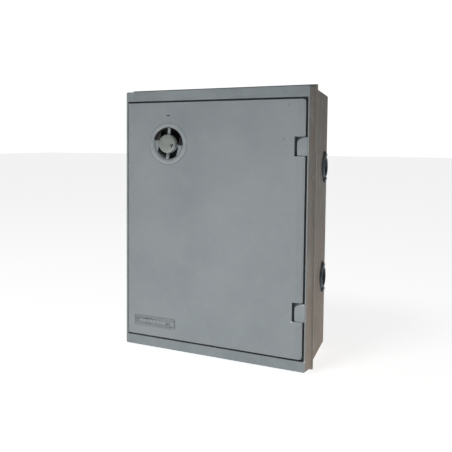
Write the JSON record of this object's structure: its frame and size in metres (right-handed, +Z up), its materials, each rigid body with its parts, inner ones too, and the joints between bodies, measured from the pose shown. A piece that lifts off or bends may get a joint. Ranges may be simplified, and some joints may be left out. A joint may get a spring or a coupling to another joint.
{
  "type": "meter socket enclosure",
  "caption": "Flush-mounted moulded meter cabinet with a right-hinged door, recessed turn handle with key barrel, side cable entries and a plug-in meter socket on a board.",
  "frame": {"origin": "centre of the flat back face", "axes": "+Y from the door to the wall behind, +Z up, +X to the right as seen from the front"},
  "size_m": [0.4416, 0.2005, 0.6076],
  "materials": {
    "box_plastic": "weathered moulded back box, brown-grey",
    "frame_plastic": "matt moulded grey with a fine texture",
    "door_plastic": "matt moulded blue-grey with a fine texture",
    "lock_plastic": "satin moulded light grey",
    "entry_plastic": "dark blue-grey moulding",
    "gasket_rubber": "soft foam rubber",
    "steel": "zinc plated",
    "zinc": "dull cast zinc",
    "brass": "satin",
    "tinned_copper": "tin plated copper",
    "board_wood": "sealed plywood",
    "socket_plastic": "dark compression moulding"
  },
  "bodies": {
    "enclosure": {"back_box": "box_plastic", "front_frame": "frame_plastic", "meter_board": "board_wood", "socket_base": "socket_plastic", "neutral_bar": "brass", "earth_bar": "brass", "lower_hinge_block": "frame_plastic", "lower_entry_bush": "entry_plastic", "lower_entry_locknut": "entry_plastic", "lower_block_screw_1": "steel", "lower_entry_screw_1": "steel", "lower_block_screw_2": "steel", "lower_entry_screw_2": "steel", "upper_hinge_block": "frame_plastic", "upper_entry_bush": "entry_plastic", "upper_entry_locknut": "entry_plastic", "upper_block_screw_1": "steel", "upper_entry_screw_1": "steel", "upper_block_screw_2": "steel", "upper_entry_screw_2": "steel", "frame_screw_1": "steel", "board_screw_1": "steel", "frame_screw_2": "steel", "board_screw_2": "steel", "frame_screw_3": "steel", "board_screw_3": "steel", "frame_screw_4": "steel", "board_screw_4": "steel", "socket_screw_1": "steel", "neutral_bar_screw_1": "steel", "earth_bar_screw_1": "steel", "socket_screw_2": "steel", "neutral_bar_screw_2": "steel", "earth_bar_screw_2": "steel", "line_jaw_left": "tinned_copper", "line_lug_left": "tinned_copper", "line_lug_screw_left": "steel", "line_jaw_right": "tinned_copper", "line_lug_right": "tinned_copper", "line_lug_screw_right": "steel", "load_jaw_left": "tinned_copper", "load_lug_left": "tinned_copper", "load_lug_screw_left": "steel", "load_jaw_right": "tinned_copper", "load_lug_right": "tinned_copper", "load_lug_screw_right": "steel"},
    "door": {"door_panel": "door_plastic", "door_gasket": "gasket_rubber", "label_plate": "door_plastic", "lock_escutcheon": "lock_plastic", "lock_retaining_ring": "lock_plastic", "lower_hinge_pin": "steel", "upper_hinge_pin": "steel"},
    "lock": {"lock_handle": "lock_plastic", "lock_cap": "zinc", "lock_cam": "steel", "cam_washer": "steel", "cam_screw": "steel"},
    "key": {"key_barrel": "zinc"}
  },
  "joints": [
    {"name": "door_swing", "type": "hinge", "parent": "enclosure", "child": "door", "pos_m": [0.201, -0.186, 0], "axis": [0, 0, 1], "range_deg": [0, 105]},
    {"name": "lock_turn", "type": "hinge", "parent": "door", "child": "lock", "pos_m": [-0.1065, -0.185, 0.1785], "axis": [0, 1, 0], "range_deg": [0, 86]},
    {"name": "key_turn", "type": "hinge", "parent": "lock", "child": "key", "pos_m": [-0.09381, -0.185, 0.1736], "axis": [0, 1, 0], "range_deg": [0, 90]}
  ]
}
